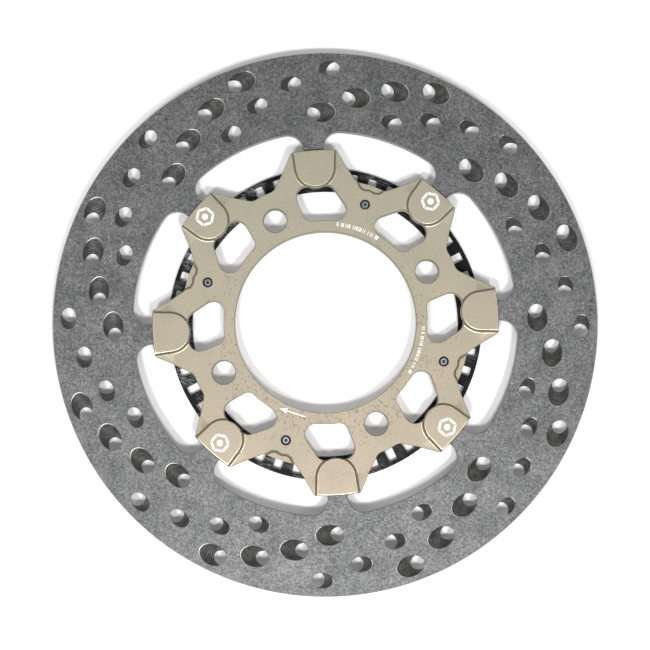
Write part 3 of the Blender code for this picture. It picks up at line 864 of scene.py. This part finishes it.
def ledge_tool():
    """Four cutters that leave a low ledge in the valleys with a screw, with a filleted step."""
    corners = [
        (polar(65.2 * MM, 0.0), 1.5 * MM),
        (polar(64.65 * MM, -2.3), 1.5 * MM),
        (polar(65.3 * MM, -4.1), 1.0 * MM),
        (polar(68.3 * MM, -6.2), 0.0),
        (polar(78.0 * MM, -5.5), 0.0),
        (polar(78.0 * MM, 5.5), 0.0),
        (polar(68.3 * MM, 6.2), 0.0),
        (polar(65.3 * MM, 4.1), 1.0 * MM),
        (polar(64.65 * MM, 2.3), 1.5 * MM),
    ]
    outline = counter_clockwise(rounded(corners, 6))
    wide = inset(outline, -0.45 * MM)
    slab = Slab()
    slab.add_wall([
        (wide, PLATE_TOP + OVERSHOOT, FACE),
        (wide, PLATE_TOP, FACE),
        (inset(outline, -0.15 * MM), PLATE_TOP - 0.2 * MM, FACE),
        (inset(outline, 0.05 * MM), PLATE_TOP - 0.6 * MM, FACE),
        (inset(outline, 0.65 * MM), LEDGE_TOP + 0.3 * MM, FACE),
        (inset(outline, 0.9 * MM), LEDGE_TOP, FACE),
    ])
    return joined_copies("ledges", slab.build("ledge", []), around_axle(QUARTERS, SCREW_AXIS))


def screw_drill():
    """The drill for a tone ring screw, with its countersink at the front."""
    profile = [
        (SCREW_HOLE_R + 1.2 * MM, PLATE_TOP + OVERSHOOT),
        (SCREW_HOLE_R + 0.2 * MM, PLATE_TOP),
        (SCREW_HOLE_R, PLATE_TOP - 0.2 * MM),
        (SCREW_HOLE_R, BOSS_BOTTOM - OVERSHOOT),
    ]
    drill = turned("screw_drill", profile, 40, [])
    place = Matrix.Translation((SCREW_CIRCLE_R, 0.0, 0.0))
    places = [turn @ place for turn in around_axle(QUARTERS, SCREW_AXIS)]
    return joined_copies("screw_drills", drill, places)


def posts(name, radius, bottom, top, centre_r, count, start=0.0):
    """Upright round posts at one distance from the axle."""
    post = prism(name + "_one", circle(radius, 40, Vector((centre_r, 0.0))), bottom, top)
    return joined_copies(name, post, around_axle(count, start))


def make_carrier(materials):
    """The carrier: chamfered plate, pads, bosses, pockets, ledges and holes."""
    slab = Slab()
    slab.add_wall(chamfered(carrier_outline(), PLATE_TOP, PLATE_BOTTOM, EDGE_CHAMFER))
    bore = circle(BORE_R, 160)
    slab.add_wall(chamfered(bore, PLATE_TOP, PLATE_BOTTOM, BORE_CHAMFER, is_hole=True), True)
    for quarter in range(QUARTERS):
        hole = circle(BOLT_HOLE_R, 48, polar(BOLT_CIRCLE_R, BOLT_AXIS + quarter * QUARTER))
        slab.add_wall(chamfered(hole, PLATE_TOP, PLATE_BOTTOM, BOLT_CHAMFER, is_hole=True), True)
    carrier = slab.build("carrier_fine", [])
    pads = joined_copies("pads", pad_master(), around_axle(ARMS))
    combine(carrier, ledge_tool(), "DIFFERENCE")
    combine(carrier, pads, "UNION")
    boss_top = PLATE_BOTTOM + OVERSHOOT
    bosses = posts("bosses", BOSS_R, BOSS_BOTTOM, boss_top, SCREW_CIRCLE_R, QUARTERS, SCREW_AXIS)
    combine(carrier, bosses, "UNION")
    for windows in window_tools():
        combine(carrier, windows, "DIFFERENCE")
    combine(carrier, pocket_tool(), "DIFFERENCE")
    bore_r = PIN_R + SMALL_GAP
    bore_bottom = POCKET_ROOF - OVERSHOOT
    bores = posts("bores", bore_r, bore_bottom, PIN_TOP + SMALL_GAP, PIN_CIRCLE_R, ARMS)
    combine(carrier, bores, "DIFFERENCE")
    combine(carrier, screw_drill(), "DIFFERENCE")
    mesh = carrier.data
    mesh.materials.clear()
    for material in materials:
        mesh.materials.append(material)
    # Sloping faces take the brighter edge material, a painted highlight along chamfers and fillets.
    for face in mesh.polygons:
        sloping = EDGE_STEEP < abs(face.normal.z) < EDGE_FLAT
        face.material_index = PAINTED_HIGHLIGHT_EDGE if sloping else FACE
    mesh.shade_smooth()
    mesh.set_sharp_from_angle(angle=math.radians(SHARP_ANGLE))
    keep_flats(carrier)
    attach(carrier, "carrier")
    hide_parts("carrier")


# ---- tone ring

def ring_inside():
    """The tone ring's inner edge, with an ear towards the axle at each screw."""
    ear_end = math.degrees(math.asin(EAR_R / RING_INNER_R))
    outline = []
    for i in range(QUARTERS):
        axis = SCREW_AXIS + i * QUARTER
        ear = arc(Vector((SCREW_CIRCLE_R, 0.0)), EAR_R, -90.0, -270.0, 20)
        outline += turned_by(ear, axis)
        outline += arc(ORIGIN, RING_INNER_R, axis + ear_end, axis + QUARTER - ear_end, 48)
    return outline


def make_tone_ring(material):
    """The black ring whose windows the wheel speed sensor counts."""
    slab = Slab()
    edge = 0.15 * MM
    slab.add_wall(chamfered(circle(RING_OUTER_R, 192), RING_TOP, RING_BOTTOM, edge))
    slab.add_wall(chamfered(ring_inside(), RING_TOP, RING_BOTTOM, edge, is_hole=True), True)
    side = RING_WINDOW_HALF_WIDTH
    corners = [
        Vector((RING_WINDOW_INNER_R, -side)),
        Vector((RING_WINDOW_OUTER_R, -side)),
        Vector((RING_WINDOW_OUTER_R, side)),
        Vector((RING_WINDOW_INNER_R, side)),
    ]
    window = rounded([(corner, 0.4 * MM) for corner in corners], 4)
    for i in range(RING_WINDOWS):
        outline = turned_by(window, BOLT_AXIS + TURN * i / RING_WINDOWS)
        slab.add_wall(chamfered(outline, RING_TOP, RING_BOTTOM, edge, is_hole=True), True)
    for i in range(QUARTERS):
        hole = circle(SCREW_HOLE_R, 32, polar(SCREW_CIRCLE_R, SCREW_AXIS + i * QUARTER))
        slab.add_wall(chamfered(hole, RING_TOP, RING_BOTTOM, edge, is_hole=True), True)
    ring = slab.build("tone_ring_fine", [material])
    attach(ring, "carrier")
    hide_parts("abs_tone_ring")


# ---- hardware

def place_copies(master, name, count, radius, start, body):
    """Put a copy of a small part at each place and let it stand for its CAD node."""
    for i in range(count):
        degrees = start + TURN * i / count
        mesh = master.data.copy()
        turn = Matrix.Rotation(math.radians(degrees), 4, "Z")
        mesh.transform(turn @ Matrix.Translation((radius, 0.0, 0.0)))
        node = "%s_%d" % (name, i + 1)
        piece = bpy.data.objects.new(node + "_fine", mesh)
        bpy.context.scene.collection.objects.link(piece)
        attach(piece, body)
        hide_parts(node)
    bpy.data.objects.remove(master, do_unlink=True)


def make_screws(material):
    """Four screws from the back: round head with a hexagon socket, thread and chamfered tip."""
    thread_pitch = 0.7 * MM
    thread_depth = 0.25 * MM
    profile = [
        (0.10 * MM, SCREW_TOP - 1.4 * MM),
        (0.55 * MM, SCREW_TOP - 1.1 * MM),
        (0.65 * MM, SCREW_TOP - 0.2 * MM),
        (0.85 * MM, SCREW_TOP),
        (SCREW_TIP_R, SCREW_TOP),
    ]
    height = SCREW_TOP - 0.5 * MM
    while height > SCREW_HEAD_HEIGHT + 6.0 * MM:
        profile += [(SCREW_R, height), (SCREW_R - thread_depth, height - thread_pitch / 2)]
        height -= thread_pitch
    profile += [
        (SCREW_R - 0.1 * MM, height),
        (SCREW_R - 0.1 * MM, SCREW_HEAD_HEIGHT + 0.3 * MM),
        (SCREW_R + 0.2 * MM, SCREW_HEAD_HEIGHT),
        (SCREW_HEAD_R - 0.15 * MM, SCREW_HEAD_HEIGHT),
        (SCREW_HEAD_R, SCREW_HEAD_HEIGHT - 0.15 * MM),
        (SCREW_HEAD_R, 0.7 * MM),
        (SCREW_HEAD_R - 0.25 * MM, 0.25 * MM),
        (SCREW_HEAD_R - 0.8 * MM, 0.0),
    ]
    screw = turned("screw", profile, 40, [])
    socket = prism("socket", circle(SOCKET_R, 6), -OVERSHOOT, SOCKET_DEPTH)
    combine(screw, socket, "DIFFERENCE")
    screw.data.materials.clear()
    screw.data.materials.append(material)
    screw.data.shade_smooth()
    screw.data.set_sharp_from_angle(angle=math.radians(SHARP_ANGLE))
    place_copies(
        screw, "tone_ring_screw", QUARTERS, SCREW_CIRCLE_R, SCREW_AXIS, "carrier"
    )


def make_pins(material):
    """Drive pins with a circlip groove and chamfered ends."""
    groove_top = CIRCLIP_TOP + SMALL_GAP
    groove_bottom = CIRCLIP_BOTTOM - SMALL_GAP
    edge = 0.3 * MM
    fillet = 0.1 * MM
    profile = [
        (PIN_R - edge, PIN_TOP),
        (PIN_R, PIN_TOP - edge),
        (PIN_R, groove_top + fillet),
        (PIN_R - fillet, groove_top),
        (PIN_GROOVE_R, groove_top),
        (PIN_GROOVE_R, groove_bottom),
        (PIN_R - fillet, groove_bottom),
        (PIN_R, groove_bottom - fillet),
        (PIN_R - fillet, PIN_BOTTOM),
        (1.2 * MM, PIN_BOTTOM),
        (0.3 * MM, PIN_BOTTOM + 0.7 * MM),
    ]
    pin = turned("pin", profile, 48, [material])
    place_copies(pin, "drive_pin", ARMS, PIN_CIRCLE_R, 0.0, "carrier")


def make_flat_washers(material):
    """Flat washers with slightly rounded punched edges."""
    inner = PIN_R + SMALL_GAP
    edge = 0.12 * MM
    profile = [
        (inner, WASHER_TOP - edge),
        (inner + edge, WASHER_TOP),
        (WASHER_OUTER_R - edge, WASHER_TOP),
        (WASHER_OUTER_R, WASHER_TOP - edge),
        (WASHER_OUTER_R, WASHER_BOTTOM + edge),
        (WASHER_OUTER_R - edge, WASHER_BOTTOM),
        (inner + edge, WASHER_BOTTOM),
        (inner, WASHER_BOTTOM + edge),
        (inner, WASHER_TOP - edge),
    ]
    washer = turned("washer", profile, 48, [material])
    place_copies(washer, "flat_washer", ARMS, PIN_CIRCLE_R, 0.0, "carrier")


def make_wave_washers(material):
    """Wave washers: thin rings bent up and down three times round their circle."""
    inner = PIN_R + SMALL_GAP
    profile = [
        (inner, WAVE_BOTTOM + WAVE_SHEET),
        (WASHER_OUTER_R, WAVE_BOTTOM + WAVE_SHEET),
        (WASHER_OUTER_R, WAVE_BOTTOM),
        (inner, WAVE_BOTTOM),
        (inner, WAVE_BOTTOM + WAVE_SHEET),
    ]
    washer = turned("wave", profile, 72, [material])
    swing = (WAVE_TOP - WAVE_BOTTOM - WAVE_SHEET) / 2
    for vertex in washer.data.vertices:
        angle = math.atan2(vertex.co.y, vertex.co.x)
        vertex.co.z += swing * (1 + math.cos(WAVE_LOBES * angle))
    place_copies(washer, "wave_washer", ARMS, PIN_CIRCLE_R, 0.0, "wave_washers")


def make_circlips(material):
    """Open retaining rings with rounded ends."""
    inner = PIN_GROOVE_R + SMALL_GAP
    opening = 26.0
    middle = (inner + CIRCLIP_OUTER_R) / 2
    half = (CIRCLIP_OUTER_R - inner) / 2
    outline = arc(ORIGIN, CIRCLIP_OUTER_R, opening, TURN - opening, 40)
    outline += arc(polar(middle, -opening), half, -opening, TURN / 2 - opening, 8)[1:-1]
    outline += arc(ORIGIN, inner, TURN - opening, opening, 40)
    outline += arc(polar(middle, opening), half, TURN / 2 + opening, TURN + opening, 8)[1:-1]
    slab = Slab()
    slab.add_wall(chamfered(outline, CIRCLIP_TOP, CIRCLIP_BOTTOM, 0.08 * MM))
    circlip = slab.build("circlip", [material])
    place_copies(circlip, "circlip", ARMS, PIN_CIRCLE_R, 0.0, "carrier")


# ---- laser marks

def mark(name, outlines, level, material):
    """A thin flat mark on the carrier, made of separate outlines."""
    vertices = []
    faces = []
    for outline in outlines:
        prism_piece = prism("mark_part", counter_clockwise(outline), level, level + MARK_HEIGHT)
        start = len(vertices)
        vertices += [tuple(vertex.co) for vertex in prism_piece.data.vertices]
        faces += [tuple(start + i for i in face.vertices) for face in prism_piece.data.polygons]
        bpy.data.objects.remove(prism_piece, do_unlink=True)
    mesh = bpy.data.meshes.new(name)
    mesh.from_pydata(vertices, [], faces)
    piece = new_piece(name, mesh, [material])
    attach(piece, "carrier")


def bar(radius, degrees, length, width):
    """A small bar along the radius."""
    half = Vector((length / 2, 0.0))
    side = Vector((0.0, width / 2))
    inner = Vector((radius, 0.0)) - half
    outer = Vector((radius, 0.0)) + half
    return turned_by([inner - side, outer - side, outer + side, inner + side], degrees)


def code_marks(name, radius, start, end, length, material):
    """A row of plain bars of two widths, like a lot code, along an arc."""
    draw = random.Random(SEED)
    bars = []
    degrees = start
    while degrees < end:
        wide = draw.choice((0.35, 0.7)) * MM
        bars.append(bar(radius, degrees, length, wide))
        degrees += draw.choice((1.1, 1.6, 2.2))
    mark(name, bars, PLATE_TOP, material)


def arrow_mark(material):
    """The arrow for the direction of rotation."""
    centre = polar(ARROW_R, ARROW_AXIS)
    along = polar(1.0, ARROW_AXIS - 88.0)
    across = Vector((-along.y, along.x))
    tip = centre + along * ARROW_HALF_LENGTH
    tail = centre - along * ARROW_HALF_LENGTH
    neck = tip - along * 3.4 * MM
    shaft = 0.3 * MM
    wing = 1.35 * MM
    outline = [
        tail - across * shaft,
        neck - across * shaft,
        neck - along * 0.5 * MM - across * wing,
        tip,
        neck - along * 0.5 * MM + across * wing,
        neck + across * shaft,
        tail + across * shaft,
    ]
    mark("rotation_arrow", [outline], PLATE_TOP, material)


def pad_marks(material):
    """A plain six-sided ring with a dot on each of the four diagonal pads."""
    for quarter in range(QUARTERS):
        degrees = ARM_PITCH + quarter * QUARTER
        centre = Vector((PIN_CIRCLE_R + 0.5 * MM, 0.0))
        parts = []
        for side in range(6):
            outer = [centre + polar(MARK_OUTER_R, 60.0 * side + a) for a in (3.0, 57.0)]
            inner = [centre + polar(MARK_INNER_R, 60.0 * side + a) for a in (57.0, 3.0)]
            parts.append(turned_by(outer + inner, degrees))
        parts.append(turned_by(circle(MARK_DOT_R, 32, centre), degrees))
        mark("pad_mark_%d" % (quarter + 1), parts, PAD_TOP - MARK_ROOM, material)


# ---- stage

def make_floor():
    """A plain pale floor."""
    mesh = bpy.data.meshes.new("floor")
    signs = ((-1.0, -1.0), (1.0, -1.0), (1.0, 1.0), (-1.0, 1.0))
    mesh.from_pydata([(x * FLOOR_HALF, y * FLOOR_HALF, 0.0) for x, y in signs], [], [(0, 1, 2, 3)])
    floor = bpy.data.objects.new("floor", mesh)
    bpy.context.scene.collection.objects.link(floor)
    shader = Shader("floor_white", 0.0, 0.8)
    shader.surface.inputs["Emission Color"].default_value = rgb(1.0, 1.0, 1.0)
    shader.surface.inputs["Emission Strength"].default_value = FLOOR_GLOW
    grain = shader.noise(30.0, 2.0)
    white = shader.mix(grain, rgb(0.91, 0.91, 0.91), rgb(0.94, 0.94, 0.94))
    mesh.materials.append(shader.finish(white))
    floor.location.z = -FLOOR_DROP


def camera_matrix():
    """The camera's place: rotor coordinates to camera coordinates, inverted."""
    roll = Matrix.Rotation(math.radians(CAMERA_ROLL), 4, "Z")
    tilt_x = Matrix.Rotation(math.radians(CAMERA_TILT_X), 4, "X")
    tilt_y = Matrix.Rotation(math.radians(CAMERA_TILT_Y), 4, "Y")
    to_face = Matrix.Translation((0.0, 0.0, -BAND_TOP))
    back = Matrix.Translation((CAMERA_SHIFT.x, CAMERA_SHIFT.y, -CAMERA_DISTANCE))
    return (back @ tilt_y @ tilt_x @ roll @ to_face).inverted()


def make_camera():
    """The camera, above the rotor's front."""
    camera = bpy.data.objects.new("camera", bpy.data.cameras.new("camera"))
    bpy.context.scene.collection.objects.link(camera)
    camera.data.lens = CAMERA_LENS
    camera.data.sensor_width = SENSOR_WIDTH
    camera.data.clip_start = CLIP_START
    camera.matrix_world = camera_matrix()
    bpy.context.scene.camera = camera


def area_light(name, azimuth, lean, size, power):
    """A square light aimed at the rotor; lean is its angle from straight above."""
    data = bpy.data.lights.new(name, "AREA")
    data.size = size
    data.energy = power
    light = bpy.data.objects.new(name, data)
    bpy.context.scene.collection.objects.link(light)
    flat = polar(math.sin(math.radians(lean)), azimuth)
    direction = Vector((flat.x, flat.y, math.cos(math.radians(lean))))
    light.location = direction * LIGHT_DISTANCE
    light.rotation_mode = "QUATERNION"
    light.rotation_quaternion = direction.to_track_quat("Z", "Y")


def make_lights():
    """Two small key lights low in the picture, left and right, and soft light all round."""
    for name, azimuth in KEY_AXES.items():
        area_light(name, azimuth, KEY_LEAN, KEY_SIZE, KEY_POWER)
    for i in range(FILLS):
        area_light("fill_%d" % (i + 1), TURN * i / FILLS, FILL_LEAN, FILL_SIZE, FILL_POWER)
    world = bpy.data.worlds.new("world")
    bpy.context.scene.world = world
    world.use_nodes = True
    background = world.node_tree.nodes["Background"]
    background.inputs["Color"].default_value = rgb(1.0, 1.0, 1.0)
    background.inputs["Strength"].default_value = SURROUND
    bpy.context.scene.view_settings.view_transform = "Standard"


# ---- the whole scene

def main():
    """Build every piece, the floor, the camera and the lights."""
    make_camera()
    make_lights()
    make_floor()
    make_band([band_steel(), drilled_steel(), cut_edge(), band_side()])
    make_carrier([anodised(), anodised_edge()])
    make_tone_ring(black_coat())
    hardware = (
        (make_screws, "screw_steel", rgb(0.10, 0.115, 0.13), rgb(0.30, 0.325, 0.35), 0.42),
        (make_pins, "pin_steel", rgb(0.30, 0.30, 0.31), rgb(0.52, 0.52, 0.53), 0.32),
        (make_flat_washers, "washer_zinc", rgb(0.42, 0.43, 0.45), rgb(0.66, 0.67, 0.68), 0.35),
        (make_wave_washers, "spring_steel", rgb(0.20, 0.20, 0.22), rgb(0.38, 0.37, 0.37), 0.3),
        (make_circlips, "circlip_black", rgb(0.02, 0.02, 0.022), rgb(0.06, 0.06, 0.065), 0.4),
    )
    for make, name, dark, bright, roughness in hardware:
        make(hardware_steel(name, dark, bright, roughness))
    white = laser_white()
    pad_marks(white)
    arrow_mark(white)
    code_marks("lot_code_1", 46.3 * MM, 54.5, 80.5, 1.9 * MM, white)
    code_marks("lot_code_2", 45.9 * MM, 325.0, 353.0, 1.5 * MM, white)


main()
